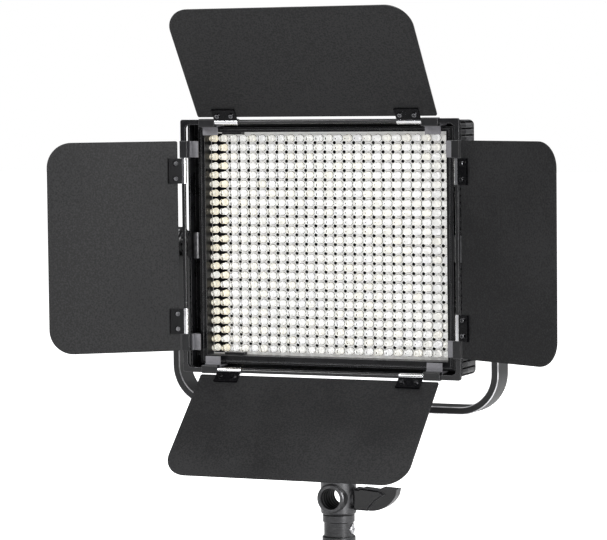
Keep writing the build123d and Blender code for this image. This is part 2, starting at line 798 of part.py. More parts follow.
def battery_mounts():
    """Two slide-on battery plates with rails, contact blocks, contacts and sprung latches."""
    slot_h = latch_h + latch_travel + 2 * body_gap
    with BuildPart() as plates:
        for x in (-plate_x, plate_x):
            with BuildSketch(back(crown_back)):
                with Locations((x, plate_z)):
                    RectangleRounded(plate_w, plate_h, 2)
                with Locations((x, plate_z + latch_up)):
                    Rectangle(latch_w + 2 * body_gap, slot_h, mode=Mode.SUBTRACT)
            extrude(amount=plate_base)
            with BuildSketch(back(crown_back + plate_base)):
                with Locations((x, plate_z - 4)):
                    with GridLocations(plate_w - 4, 0, 2, 1):
                        Rectangle(2.4, rail_len)
            extrude(amount=rail_h)
            with BuildSketch(back(crown_back + plate_base + rail_h)):
                with Locations((x, plate_z - 4)):
                    with GridLocations(plate_w - 5.6, 0, 2, 1):
                        Rectangle(4, rail_len)
            extrude(amount=1.4)
            with BuildSketch(back(crown_back + plate_base)):
                with Locations((x, plate_z - plate_h / 2 + 4)):
                    Rectangle(18, 5)
            extrude(amount=5)
    save(plates, "battery_plates")
    with BuildPart() as contacts:
        for x in (-plate_x, plate_x):
            contact_foot = axis_z + plate_z - plate_h / 2 + 6.5
            with BuildSketch(Plane(origin=(x, crown_back + plate_base + 2.5, contact_foot))):
                with GridLocations(6, 0, 3, 1):
                    Rectangle(0.8, 2.4)
            extrude(amount=5)
    save(contacts, "battery_contacts")
    for x, name in ((plate_x, "left"), (-plate_x, "right")):
        with BuildPart() as latch:
            with BuildSketch(back(crown_back + 0.2)):
                with Locations((x, plate_z + latch_up + latch_travel / 2)):
                    RectangleRounded(latch_w, latch_h, 1)
            extrude(amount=plate_base + 1.6)
            with BuildSketch(back(crown_back + plate_base + 1.8)):
                with Locations((x, plate_z + latch_up + latch_travel / 2)):
                    with GridLocations(0, 1.8, 1, 4):
                        Rectangle(latch_w - 2, 0.7)
            extrude(amount=-0.6, mode=Mode.SUBTRACT)
        save(latch, f"battery_latch_{name}")


# =============================== tilt pivots ===============================
def pivots():
    pivot_end = yoke_half_gap - body_gap - washer_t
    with BuildPart() as blocks:
        for sign in (1, -1):
            with BuildSketch(side(panel_w / 2, sign)):
                with Locations(((shell_back + shell_front) / 2, 0)):
                    RectangleRounded(shell_back - shell_front - 1, 34, 2)
            extrude(amount=2.5)
            with BuildSketch(side(panel_w / 2, sign)):
                Circle(pivot_d / 2)
            extrude(amount=pivot_end - panel_w / 2)
            with BuildSketch(side(pivot_end, sign)):
                Circle(tilt_bolt_d / 2 + bolt_fit)
            extrude(amount=-12, mode=Mode.SUBTRACT)
    save(blocks, "pivot_blocks")
    with BuildPart() as washers:
        for sign in (1, -1):
            with BuildSketch(side(pivot_end, sign)):
                Circle(pivot_d / 2 + 0.6)
                Circle(tilt_bolt_d / 2 + bolt_hole_play, mode=Mode.SUBTRACT)
            extrude(amount=washer_t)
    save(washers, "friction_washers")
    knob_x = yoke_outer + body_gap
    for sign, name in ((-1, "left"), (1, "right")):
        with BuildPart() as bolt:
            with BuildSketch(side(pivot_end - 11, sign)):
                Circle(tilt_bolt_d / 2)
            extrude(amount=knob_x + 8 - pivot_end + 11)
            chamfer(bolt.faces().sort_by(Axis.X)[0 if sign > 0 else -1].edges(), 0.6)
            with BuildSketch(side(knob_x, sign)):
                Circle(8)
                Circle(tilt_bolt_d / 2, mode=Mode.SUBTRACT)
            extrude(amount=1.2)
        save(bolt, f"tilt_bolt_{name}")
        with BuildPart() as knob:
            with BuildSketch(side(knob_x + 1.2, sign)):
                Circle(8.5)
            extrude(amount=4)
            with BuildSketch(side(knob_x + 5.2, sign)):
                Circle(knob_d / 2 - 4)
                with PolarLocations(knob_d / 2 - 5, 6):
                    Circle(5)
            extrude(amount=knob_t)
            end = knob.faces().sort_by(Axis.X)[-1 if sign > 0 else 0]
            chamfer(end.edges(), 1.4)
            with BuildSketch(side(knob_x + 5.2 + knob_t, sign)):
                Circle(6)
            extrude(amount=-1, mode=Mode.SUBTRACT)
            with BuildSketch(side(knob_x, sign)):
                Circle(tilt_bolt_d / 2)
            extrude(amount=8, mode=Mode.SUBTRACT)
        save(knob, f"tilt_knob_{name}")


# =============================== barn doors ===============================
towards_back = Vector(0, 1, 0)
door_sides = {
    "top": (Vector(0, 0, 1), frame_h / 2, sleeve_reach_x, hinge_x, top_leaf_w, top_leaf_len),
    "bottom": (Vector(0, 0, -1), frame_h / 2, sleeve_reach_x, hinge_x, top_leaf_w, top_leaf_len),
    "left": (Vector(-1, 0, 0), frame_w / 2, sleeve_reach_z, hinge_z, side_leaf_w, side_leaf_len),
    "right": (Vector(1, 0, 0), frame_w / 2, sleeve_reach_z, hinge_z, side_leaf_w, side_leaf_len),
}


def rod_plane(outward, distance, along=0.0, angle=0.0):
    """Plane across a rod. Local X points out along the leaf, local Y to its inner face."""
    run = towards_back.cross(outward)
    leaf_way = outward * cos(radians(angle)) - towards_back * sin(radians(angle))
    centre = Vector(0, rod_y, axis_z) + outward * distance + run * along
    return Plane(origin=centre, x_dir=leaf_way, z_dir=run)


def leaf_plane(outward, distance, offset, angle):
    """Plane in the leaf. Local X runs along the rod and local Y points out along the leaf."""
    across = rod_plane(outward, distance, 0, angle)
    return Plane(origin=across.origin, x_dir=across.z_dir, z_dir=across.y_dir).offset(offset)


def door_frame():
    """Rods, corner links, and the sleeves and tabs that hold the frame on the bezel."""
    with BuildPart() as rods:
        for outward, distance, reach, *_ in door_sides.values():
            with BuildSketch(rod_plane(outward, distance, -reach)):
                Circle(rod_d / 2)
            extrude(amount=2 * reach)
    save(rods, "door_rods")
    with BuildPart() as links:
        with BuildSketch(front(rod_y + link_t / 2)) as ring:
            RectangleRounded(frame_w + link_w, frame_h + link_w, 1.6)
            RectangleRounded(frame_w - link_w, frame_h - link_w, 3.4, mode=Mode.SUBTRACT)
            Rectangle(2 * sleeve_reach_x, 2 * frame_h, mode=Mode.SUBTRACT)
            Rectangle(2 * frame_w, 2 * sleeve_reach_z, mode=Mode.SUBTRACT)
        extrude(amount=link_t)
    save(links, "corner_links")
    with BuildPart() as sleeves:
        for outward, distance, reach, *_ in door_sides.values():
            for start in (-reach, reach - sleeve_len):
                with BuildSketch(rod_plane(outward, distance, start)):
                    with Locations(((sleeve_out - sleeve_in) / 2, 0)):
                        RectangleRounded(sleeve_in + sleeve_out, sleeve_side, 0.9)
                    Circle(rod_d / 2, mode=Mode.SUBTRACT)
                extrude(amount=sleeve_len)
    save(sleeves, "rod_sleeves")
    plate_y = rod_y - tab_front
    plate_under = plate_y - tab_t
    hook_y = -sleeve_side / 2
    leg_end = rod_y - channel_floor + tab_lift
    with BuildPart() as tabs:
        for outward, distance, reach, *_ in door_sides.values():
            for start in (-reach + 0.3, reach - sleeve_len + 0.3):
                with BuildSketch(rod_plane(outward, distance, start)):
                    with BuildLine():
                        Polyline((tab_in, plate_y), (hook_in, plate_y), (hook_in, hook_y),
                                 (hook_out, hook_y), (hook_out, plate_under), (leg_out, plate_under),
                                 (leg_out, leg_end),
                                 (leg_out - tab_t, leg_end), (leg_out - tab_t, plate_under),
                                 (tab_in, plate_under), (tab_in, plate_y))
                    make_face()
                extrude(amount=sleeve_len - 0.6)
    save(tabs, "corner_tabs")


def barn_door(name):
    """One leaf with two hinges that turn on the frame's rod."""
    outward, distance, reach, hinge_at, width, length = door_sides[name]
    angle = door_angles[name]
    with BuildPart() as leaf:
        with BuildSketch(leaf_plane(outward, distance, -leaf_t / 2, angle)) as outline:
            with Locations((0, leaf_start + length / 2)):
                Rectangle(width, length)
            fillet(outline.vertices().group_by(Axis.Y)[-1], leaf_round)
            fillet(outline.vertices().group_by(Axis.Y)[0], 1.5)
            with Locations((-hinge_at, hinge_screw_out), (hinge_at, hinge_screw_out)):
                with GridLocations(hinge_screw_gap, 0, 2, 1):
                    Circle(1.2, mode=Mode.SUBTRACT)
        extrude(amount=leaf_t)
    save(leaf, f"{name}_leaf")
    with BuildPart() as barrels:
        for at in (-hinge_at, hinge_at):
            with BuildSketch(rod_plane(outward, distance, at - hinge_len / 2, angle)):
                Circle(barrel_d / 2)
                Circle(rod_d / 2 + hinge_fit, mode=Mode.SUBTRACT)
            extrude(amount=hinge_len)
    save(barrels, f"{name}_hinge_barrels")
    with BuildPart() as plates:
        for at in (-hinge_at, hinge_at):
            with BuildSketch(rod_plane(outward, distance, at - hinge_len / 2, angle)):
                with BuildLine():
                    low = leaf_t / 2
                    high = low + plate_t
                    inner = plate_len - plate_t
                    Polyline((1.2, low), (plate_len, low), (plate_len, high + plate_t),
                             (inner, high + plate_t), (inner, high), (1.2, high), (1.2, low))
                make_face()
                Circle(barrel_d / 2, mode=Mode.SUBTRACT)
            extrude(amount=hinge_len)
            with BuildSketch(leaf_plane(outward, distance, 0, angle)):
                with Locations((at, hinge_screw_out)):
                    with GridLocations(hinge_screw_gap, 0, 2, 1):
                        Circle(1.2)
            extrude(amount=4, mode=Mode.SUBTRACT)
    save(plates, f"{name}_hinge_plates")
    with BuildPart() as screws:
        for at in (-hinge_at, hinge_at):
            with BuildSketch(leaf_plane(outward, distance, -leaf_t / 2 - 0.6, angle)):
                with Locations((at, hinge_screw_out)):
                    with GridLocations(hinge_screw_gap, 0, 2, 1):
                        Circle(1.2)
            extrude(amount=leaf_t + plate_t + 0.6)
            with BuildSketch(leaf_plane(outward, distance, leaf_t / 2 + plate_t, angle)):
                with Locations((at, hinge_screw_out)):
                    with GridLocations(hinge_screw_gap, 0, 2, 1):
                        Circle(2.2)
            extrude(amount=1.3, taper=20)
            with BuildSketch(leaf_plane(outward, distance, leaf_t / 2 + plate_t + 1.4, angle)):
                with Locations((at, hinge_screw_out)):
                    with GridLocations(hinge_screw_gap, 0, 2, 1):
                        Rectangle(2.6, 0.6)
                        Rectangle(0.6, 2.6)
            extrude(amount=-0.8, mode=Mode.SUBTRACT)
    save(screws, f"{name}_hinge_screws")


socket_sleeve()
neck_screw()
lock_ring()
adapter_head()
clamp_screw()
clamp_lever()
upper_stem()
yoke_nut()
yoke_washers()
yoke_bolt()
yoke()
main_shell()
front_bezel()
bezel_screws()
lamp_board()
lamp_beads()
board_clips()
side_clips()
back_cover()
case_screws()
lamp_driver()
display()
dials()
power_controls()
battery_mounts()
pivots()
door_frame()
for door in door_sides:
    barn_door(door)
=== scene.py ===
"""LED panel light with four barn doors, a U yoke and a stand adapter: materials, fine detail and studio."""
import math

import bpy
from mathutils import Matrix, Vector


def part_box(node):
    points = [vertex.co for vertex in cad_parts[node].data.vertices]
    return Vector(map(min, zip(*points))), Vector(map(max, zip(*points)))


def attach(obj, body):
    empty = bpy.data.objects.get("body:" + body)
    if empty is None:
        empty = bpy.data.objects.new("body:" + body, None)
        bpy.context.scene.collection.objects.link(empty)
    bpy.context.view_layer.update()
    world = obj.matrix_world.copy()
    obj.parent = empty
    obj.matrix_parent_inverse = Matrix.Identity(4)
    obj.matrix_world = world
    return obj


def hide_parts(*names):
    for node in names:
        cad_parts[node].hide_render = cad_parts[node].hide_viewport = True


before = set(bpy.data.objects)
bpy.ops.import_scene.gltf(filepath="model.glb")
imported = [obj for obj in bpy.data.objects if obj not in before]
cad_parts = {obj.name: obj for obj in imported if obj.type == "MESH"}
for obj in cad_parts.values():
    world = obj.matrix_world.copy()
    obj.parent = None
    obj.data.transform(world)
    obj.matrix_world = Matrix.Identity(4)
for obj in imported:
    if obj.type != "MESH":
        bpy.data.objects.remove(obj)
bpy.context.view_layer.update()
MM = 0.001
LAMP_COLUMNS, LAMP_ROWS = 25, 24
CROSS_BORE_HEIGHT, CROSS_BORE_RADIUS = 42.8 * MM, 8.3 * MM
# colour of the painted highlight drawn along hard edges
EDGE_HIGHLIGHT_COLOUR = (0.16, 0.16, 0.165)
FACING_FRONT = (math.pi / 2, 0, 0)


# ------------------------------------------------------------ material helpers
class Finish:
    """A material and short calls that add its nodes."""

    def __init__(self, name, colour=(0.5, 0.5, 0.5), roughness=0.5, metallic=0.0):
        self.material = bpy.data.materials.new(name)
        self.material.use_nodes = True
        self.tree = self.material.node_tree
        self.shader = self.tree.nodes["Principled BSDF"]
        self.set(**{"Base Color": (*colour, 1.0), "Roughness": roughness, "Metallic": metallic})
        self.place = self.add("ShaderNodeTexCoord").outputs["Object"]

    def add(self, kind, **settings):
        node = self.tree.nodes.new(kind)
        for key, value in settings.items():
            setattr(node, key, value)
        return node

    def link(self, source, target):
        self.tree.links.new(source, target)

    def set(self, **values):
        for key, value in values.items():
            self.shader.inputs[key].default_value = value

    def noise(self, scale, detail=4.0, stretch=(1, 1, 1), rough=0.55):
        """Noise over the object's own coordinates, in cycles per metre, stretched along an axis."""
        mapping = self.add("ShaderNodeMapping")
        mapping.inputs["Scale"].default_value = stretch
        self.link(self.place, mapping.inputs["Vector"])
        node = self.add("ShaderNodeTexNoise")
        node.inputs["Scale"].default_value = scale
        node.inputs["Detail"].default_value = detail
        node.inputs["Roughness"].default_value = rough
        self.link(mapping.outputs["Vector"], node.inputs["Vector"])
        return node.outputs["Fac"]

    def spots(self, scale, feature="F1"):
        node = self.add("ShaderNodeTexVoronoi", feature=feature)
        node.inputs["Scale"].default_value = scale
        self.link(self.place, node.inputs["Vector"])
        return node.outputs["Distance"]

    def ramp(self, source, stops):
        node = self.add("ShaderNodeValToRGB")
        while len(node.color_ramp.elements) < len(stops):
            node.color_ramp.elements.new(0.5)
        for element, (position, colour) in zip(node.color_ramp.elements, stops):
            element.position = position
            element.color = (*colour, 1.0) if len(colour) == 3 else colour
        self.link(source, node.inputs["Fac"])
        return node.outputs["Color"]

    def spread(self, source, low, high, start=0.3, end=0.7):
        node = self.add("ShaderNodeMapRange")
        for key, value in (("From Min", start), ("From Max", end), ("To Min", low), ("To Max", high)):
            node.inputs[key].default_value = value
        self.link(source, node.inputs["Value"])
        return node.outputs["Result"]

    def sum(self, first, second, kind="ADD"):
        node = self.add("ShaderNodeMath", operation=kind)
        for socket, value in zip(node.inputs, (first, second)):
            if isinstance(value, (int, float)):
                socket.default_value = value
            else:
                self.link(value, socket)
        return node.outputs["Value"]

    def blend(self, first, second, share):
        """Weighted mean of two values; share is the weight of the first."""
        return self.sum(self.sum(first, share, "MULTIPLY"), self.sum(second, 1 - share, "MULTIPLY"))

    def mix(self, factor, first, second, kind="MIX"):
        node = self.add("ShaderNodeMix", data_type="RGBA", blend_type=kind)
        sockets = (node.inputs["Factor"], node.inputs[6], node.inputs[7])
        for socket, value in zip(sockets, (factor, first, second)):
            if isinstance(value, (tuple, float, int)):
                socket.default_value = value if isinstance(value, (float, int)) else (*value, 1.0)
            else:
                self.link(value, socket)
        return node.outputs[2]

    def axis(self, name, of="place"):
        """One coordinate of the place or of the surface's own direction."""
        node = self.add("ShaderNodeSeparateXYZ")
        source = self.place if of == "place" else self.add("ShaderNodeNewGeometry").outputs["Normal"]
        self.link(source, node.inputs["Vector"])
        return node.outputs[name]

    def soft_normal(self, radius):
        """The surface's direction as if its hard edges were rounded."""
        node = self.add("ShaderNodeBevel", samples=4)
        node.inputs["Radius"].default_value = radius
        return node.outputs["Normal"]

    def colour(self, source, edge=None):
        """Base colour; edge is the colour of a painted highlight, a thin light line along hard edges."""
        if edge:
            turn = self.add("ShaderNodeVectorMath", operation="DOT_PRODUCT")
            self.link(self.soft_normal(0.55 * MM), turn.inputs[0])
            self.link(self.add("ShaderNodeNewGeometry").outputs["Normal"], turn.inputs[1])
            # painted highlight: a light line where the rounded normal turns away from the true one, at hard
            # edges
            painted_edge_light = self.spread(turn.outputs["Value"], 1, 0, 0.86, 0.985)
            source = self.mix(painted_edge_light, source, edge)
        self.link(source, self.shader.inputs["Base Color"])

    def roughness(self, source):
        self.link(source, self.shader.inputs["Roughness"])

    def bump(self, source, strength, height, round_edges=0.0):
        """Fine relief; round_edges also softens hard edges, so that they catch the light."""
        node = self.add("ShaderNodeBump")
        if round_edges:
            self.link(self.soft_normal(round_edges), node.inputs["Normal"])
        node.inputs["Strength"].default_value = strength
        node.inputs["Distance"].default_value = height
        self.link(source, node.inputs["Height"])
        self.link(node.outputs["Normal"], self.shader.inputs["Normal"])


def powder_coat(name, dark, light, grain=2600, bump=0.25, rough=(0.42, 0.60), gloss=0.32):
    """Fine orange-peel paint with faint mottling."""
    f = Finish(name)
    speckle = f.noise(grain, 3)
    cloud = f.noise(14, 3)
    f.colour(f.ramp(f.blend(speckle, cloud, 0.7), ((0.43, dark), (0.58, light))))
    f.roughness(f.spread(cloud, *rough))
    f.bump(speckle, bump, 0.00012, 0.3 * MM)
    f.set(**{"Specular IOR Level": gloss})
    return f.material


def moulded(name, dark, light, grain=1500, rough=(0.34, 0.5), bump=0.18):
    """Moulded plastic: fine texture, soft wear and a painted highlight along hard edges."""
    f = Finish(name)
    grit = f.spots(grain)
    wear = f.noise(60, 5)
    # the edge colour is a painted highlight along hard edges
    f.colour(f.ramp(wear, ((0.35, dark), (0.7, light))), EDGE_HIGHLIGHT_COLOUR)
    f.roughness(f.spread(wear, *rough))
    f.bump(grit, bump, 0.00012, 0.45 * MM)
    return f.material


def ribbed(name, dark, light, rough, gloss, pitch=4.95 * MM, middle=0.236, side_wall=0.1112):
    """Moulded plastic with painted shade in its side grooves, where light hardly reaches, and a painted
    highlight along hard edges.
    """
    f = Finish(name)
    wear = f.noise(60, 5)
    turns = f.sum(f.sum(f.axis("Z"), middle, "SUBTRACT"), 1 / pitch, "MULTIPLY")
    from_groove = f.sum(turns, 0.5, "PINGPONG")
    on_side = f.sum(f.sum(f.axis("X"), 0.0, "ABSOLUTE"), side_wall, "GREATER_THAN")
    # painted shade: the side grooves are drawn near-black, rougher and without gloss
    groove_shade = f.sum(f.spread(from_groove, 1, 0, 0.13, 0.19), on_side, "MULTIPLY")
    body = f.ramp(wear, ((0.35, dark), (0.7, light)))
    f.colour(f.mix(groove_shade, body, (0.0005, 0.0005, 0.0005)), EDGE_HIGHLIGHT_COLOUR)
    f.roughness(f.sum(f.spread(wear, *rough), f.sum(groove_shade, 0.5, "MULTIPLY")))
    f.link(f.spread(groove_shade, gloss, 0.02, 0, 1), f.shader.inputs["Specular IOR Level"])
    f.bump(f.spots(1500), 0.18, 0.00012, 0.45 * MM)
    return f.material


def turned_metal(name, dark, light, rough=(0.28, 0.42), metallic=0.85, stretch=(1, 1, 24), scale=140,
                 bump=0.12, edge=None):
    """Machined metal with fine marks round the piece; an edge colour, when given, adds a painted highlight
    along hard edges.
    """
    f = Finish(name, metallic=metallic)
    marks = f.noise(scale, 5, stretch)
    cloud = f.noise(45, 4)
    f.colour(f.ramp(f.blend(marks, cloud, 0.5), ((0.35, dark), (0.65, light))), edge)
    f.roughness(f.spread(marks, *rough))
    f.bump(marks, bump, 0.0001, 0.35 * MM)
    return f.material


def cast_head():
    """Cast and bead-blasted metal; the cross bore in it is painted near-black as shade, with rings along it
    scored by the spigots pushed into it.
    """
    f = Finish("cast_head", metallic=0.8)
    grit = f.noise(1300, 4)
    cloud = f.noise(60, 4)
    body = f.ramp(f.blend(grit, cloud, 0.5), ((0.38, (0.055, 0.055, 0.057)), (0.62, (0.15, 0.15, 0.155))))
    across, up = f.axis("X"), f.sum(f.axis("Z"), CROSS_BORE_HEIGHT, "SUBTRACT")
    squares = f.sum(f.sum(across, across, "MULTIPLY"), f.sum(up, up, "MULTIPLY"))
    # painted shade inside the cross bore: near-black, matte and not metallic
    bore_shade = f.sum(f.sum(squares, 0.5, "POWER"), CROSS_BORE_RADIUS, "LESS_THAN")
    rings = f.spread(f.sum(f.axis("Y"), 2.3 * MM, "PINGPONG"), 0.0, 1.0, 0.9 * MM, 1.8 * MM)
    f.colour(f.mix(bore_shade, body, f.mix(rings, (0.004, 0.004, 0.004), (0.05, 0.05, 0.052))))
    f.roughness(f.sum(f.spread(cloud, 0.26, 0.38), f.sum(bore_shade, 0.35, "MULTIPLY")))
    f.link(f.spread(bore_shade, 0.8, 0.0, 0, 1), f.shader.inputs["Metallic"])
    f.link(f.spread(bore_shade, 0.5, 0.1, 0, 1), f.shader.inputs["Specular IOR Level"])
    f.bump(grit, 0.25, 0.0001, 0.4 * MM)
    return f.material


def chamfer_highlight_paint(name, dark, light, edge):
    """Satin paint on a bent bar, with a painted highlight in patches along its chamfers, which slant away
    from the Y axis.
    """
    f = Finish(name)
    grain = f.noise(2200, 3)
    cloud = f.noise(18, 4)
    body = f.ramp(f.blend(grain, cloud, 0.3), ((0.35, dark), (0.65, light)))
    frontness = f.axis("Y", "normal")
    slope = f.sum(frontness, frontness, "MULTIPLY")
    on_edge = f.sum(f.spread(slope, 0, 1, 0.22, 0.34), f.spread(slope, 1, 0, 0.66, 0.8), "MULTIPLY")
    patches = f.spread(f.noise(90, 3), 0.45, 1.0, 0.35, 0.6)
    # painted highlight: the chamfers are drawn in the light edge colour, broken into patches
    painted_glint = f.sum(on_edge, patches, "MULTIPLY")
    f.colour(f.mix(painted_glint, body, edge))
    f.roughness(f.spread(cloud, 0.34, 0.46))
    f.bump(grain, 0.15, 0.0001)
    return f.material


def lamp_resin():
    """Clear LED resin whose colour is painted darker where the eye meets its side at a slant: painted shade
    that draws an outline round each dome.
    """
    f = Finish("lamp_resin", (1.0, 1.0, 1.0), 0.04)
    # painted shade at the rim of each dome
    slant = f.add("ShaderNodeLayerWeight")
    slant.inputs["Blend"].default_value = 0.5
    shade = f.ramp(slant.outputs["Facing"], ((0.45, (1.0, 1.0, 1.0)), (0.82, (0.05, 0.042, 0.035))))
    swirl = f.ramp(f.noise(300, 2), ((0.3, (0.95, 0.95, 0.94)), (0.7, (1.0, 1.0, 1.0))))
    f.colour(f.mix(1.0, shade, swirl, "MULTIPLY"))
    f.roughness(f.spread(f.noise(500, 2), 0.02, 0.07))
    f.set(**{"Transmission Weight": 1.0, "IOR": 1.46})
    return f.material


def lamp_phosphor():
    """Reflector cup and phosphor inside each LED, warm and cool by turns."""
    f = Finish("lamp_phosphor", roughness=0.35)
    tint = f.add("ShaderNodeAttribute", attribute_name="tint").outputs["Fac"]
    warmth = f.ramp(tint, ((0.0, (0.97, 0.97, 0.98)), (0.42, (1.0, 0.995, 0.97)), (0.75, (1.0, 0.98, 0.91)),
                           (1.0, (1.0, 0.94, 0.78))))
    mottle = f.ramp(f.noise(900, 2), ((0.3, (0.9, 0.9, 0.9)), (0.7, (1, 1, 1))))
    seen = f.mix(1.0, warmth, mottle, "MULTIPLY")
    f.colour(seen)
    f.link(seen, f.shader.inputs["Emission Color"])
    f.set(**{"Emission Strength": 0.5})
    return f.material


def solder_mask():
    """White lacquered board with faint tracks under the lacquer, with a painted glow in its own colour
    standing for the light of the LEDs that stand on it.
    """
    f = Finish("solder_mask", roughness=0.3)
    tracks = f.noise(220, 2, (1, 1, 0.15))
    white = f.ramp(tracks, ((0.40, (0.90, 0.89, 0.87)), (0.6, (0.96, 0.955, 0.94))))
    f.colour(white)
    # painted light: the board glows faintly though it is no lamp
    f.link(white, f.shader.inputs["Emission Color"])
    f.set(**{"Emission Strength": 0.2})
    f.roughness(f.spread(f.noise(500, 3), 0.22, 0.36))
    f.bump(tracks, 0.2, 0.00005)
    return f.material


# flat near-black: the painted shade inside the holes and round each LED's foot, and the black strip at the
# board's left edge
def matte_black():
    f = Finish("matte_black")
    f.colour(f.ramp(f.noise(1200, 2), ((0.4, (0.003, 0.003, 0.004)), (0.7, (0.012, 0.012, 0.013)))))
    f.roughness(f.spread(f.noise(600, 2), 0.5, 0.8))
    f.set(**{"Specular IOR Level": 0.05})
    return f.material


def bright_plate(name, dark, light, rough=(0.08, 0.2)):
    """Polished plating with light handling marks."""
    f = Finish(name, metallic=1.0)
    marks = f.noise(320, 6, (1, 1, 1))
    f.colour(f.ramp(marks, ((0.3, dark), (0.7, light))))
    f.roughness(f.spread(f.noise(150, 4), *rough))
    f.bump(marks, 0.003, 0.00002)
    return f.material


def circuit_green():
    f = Finish("circuit_green", roughness=0.35)
    paths = f.spots(420, "DISTANCE_TO_EDGE")
    f.colour(f.ramp(paths, ((0.05, (0.10, 0.32, 0.12)), (0.12, (0.015, 0.10, 0.035)))))
    f.roughness(f.spread(f.noise(700, 3), 0.25, 0.45))
    f.bump(paths, 0.1, 0.00005)
    return f.material


def smoked_window():
    f = Finish("smoked_window", roughness=0.05)
    f.colour(f.ramp(f.noise(260, 3), ((0.4, (0.006, 0.008, 0.010)), (0.6, (0.014, 0.017, 0.020)))))
    f.roughness(f.spread(f.noise(400, 4), 0.04, 0.12))
    f.set(**{"Coat Weight": 0.6, "Coat Roughness": 0.03})
    return f.material


def studio_floor():
    f = Finish("studio_floor", roughness=0.85)
    f.colour(f.ramp(f.noise(3, 2), ((0.3, (0.86, 0.86, 0.86)), (0.7, (0.88, 0.88, 0.88)))))
    f.roughness(f.spread(f.noise(40, 3), 0.8, 0.9))
    f.set(**{"Emission Color": (1.0, 1.0, 1.0, 1.0)})
    f.link(f.add("ShaderNodeLightPath").outputs["Is Camera Ray"], f.shader.inputs["Emission Strength"])
    return f.material


leaf_coat = powder_coat("leaf_coat", (0.002, 0.002, 0.0025), (0.015, 0.015, 0.016), 800, 0.4)
housing_coat = ribbed("housing_coat", (0.022, 0.022, 0.023), (0.045, 0.045, 0.048), (0.22, 0.34), 0.5)
bezel_coat = ribbed("bezel_coat", (0.003, 0.003, 0.0035), (0.010, 0.010, 0.011), (0.24, 0.34), 0.22)
trim_plastic = moulded("trim_plastic", (0.005, 0.005, 0.006), (0.012, 0.012, 0.013), rough=(0.24, 0.4))
lever_plastic = moulded("lever_plastic", (0.004, 0.004, 0.005), (0.012, 0.012, 0.013), 700,
                        (0.14, 0.26), 0.2)
# the last colour is the painted highlight along the yoke's chamfers
yoke_coat = chamfer_highlight_paint("yoke_coat", (0.007, 0.007, 0.008), (0.017, 0.017, 0.018), (0.72, 0.72, 0.74))
cast_metal = turned_metal("cast_metal", (0.055, 0.055, 0.057), (0.14, 0.14, 0.145), (0.24, 0.36), 0.8)
head_metal = cast_head()
# rod_coat has the painted edge highlight along its hard edges
rod_coat = turned_metal("rod_coat", (0.007, 0.007, 0.008), (0.016, 0.016, 0.017), (0.15, 0.24), 0.1,
                        (1, 1, 1), 260, 0.02, EDGE_HIGHLIGHT_COLOUR)
tab_metal = turned_metal("tab_metal", (0.19, 0.187, 0.20), (0.27, 0.267, 0.285), (0.4, 0.55), 0.5,
                         (1, 1, 1), 700, 0.6)
hinge_coat = powder_coat("hinge_coat", (0.002, 0.002, 0.0025), (0.006, 0.006, 0.007), 1300, 0.3,
                         (0.2, 0.3), 0.12)
barrel_chrome = bright_plate("barrel_chrome", (0.72, 0.72, 0.74), (0.84, 0.84, 0.86), (0.10, 0.16))
screw_black = turned_metal("screw_black", (0.03, 0.03, 0.032), (0.12, 0.12, 0.125), (0.22, 0.36), 0.9,
                           (1, 1, 1), 600)
screw_dark = bright_plate("screw_dark", (0.10, 0.10, 0.105), (0.22, 0.22, 0.23), (0.12, 0.2))
clip_satin = bright_plate("clip_satin", (0.07, 0.07, 0.072), (0.16, 0.16, 0.165), (0.28, 0.38))
clip_steel = bright_plate("clip_steel", (0.70, 0.70, 0.72), (0.88, 0.88, 0.90), (0.12, 0.25))
contact_brass = bright_plate("contact_brass", (0.62, 0.43, 0.15), (0.85, 0.66, 0.30), (0.15, 0.3))
lamp_clear = lamp_resin()
lamp_cup = lamp_phosphor()
board_white = solder_mask()
near_black = matte_black()
board_green = circuit_green()
display_glass = smoked_window()

DOORS = ("top", "bottom", "left", "right")
NODE_FINISH = {
    cast_metal: ("socket_sleeve", "lock_ring", "upper_stem"),
    head_metal: ("adapter_head",),
    clip_steel: ("neck_screw", "clamp_screw", "yoke_nut", "yoke_washers", "yoke_bolt",
                 "tilt_bolt_left", "tilt_bolt_right"),
    clip_satin: ("side_clips",),
    yoke_coat: ("yoke",),
    lever_plastic: ("clamp_lever", "tilt_knob_left", "tilt_knob_right", "brightness_dial", "colour_dial"),
    housing_coat: ("main_shell", "back_cover", "pivot_blocks"),
    bezel_coat: ("front_bezel",),
    trim_plastic: ("board_clips", "rod_sleeves", "battery_plates", "battery_latch_left",
                   "battery_latch_right", "rocker_switch", "switch_body", "friction_washers", "power_socket"),
    board_white: ("lamp_board",),
    lamp_clear: ("lamp_beads",),
    screw_black: ("case_screws", "board_standoffs"),
    screw_dark: ("bezel_screws", *(f"{door}_hinge_screws" for door in DOORS)),
    board_green: ("driver_board", "display_module", "dial_pots"),
    display_glass: ("display_window",),
    contact_brass: ("battery_contacts",),
    rod_coat: ("door_rods", "corner_links"),
    tab_metal: ("corner_tabs",),
    leaf_coat: tuple(f"{door}_leaf" for door in DOORS),
    hinge_coat: tuple(f"{door}_hinge_plates" for door in DOORS),
    barrel_chrome: tuple(f"{door}_hinge_barrels" for door in DOORS),
}
for material, names in NODE_FINISH.items():
    for name in names:
        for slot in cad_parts[name].material_slots:
            slot.material = material


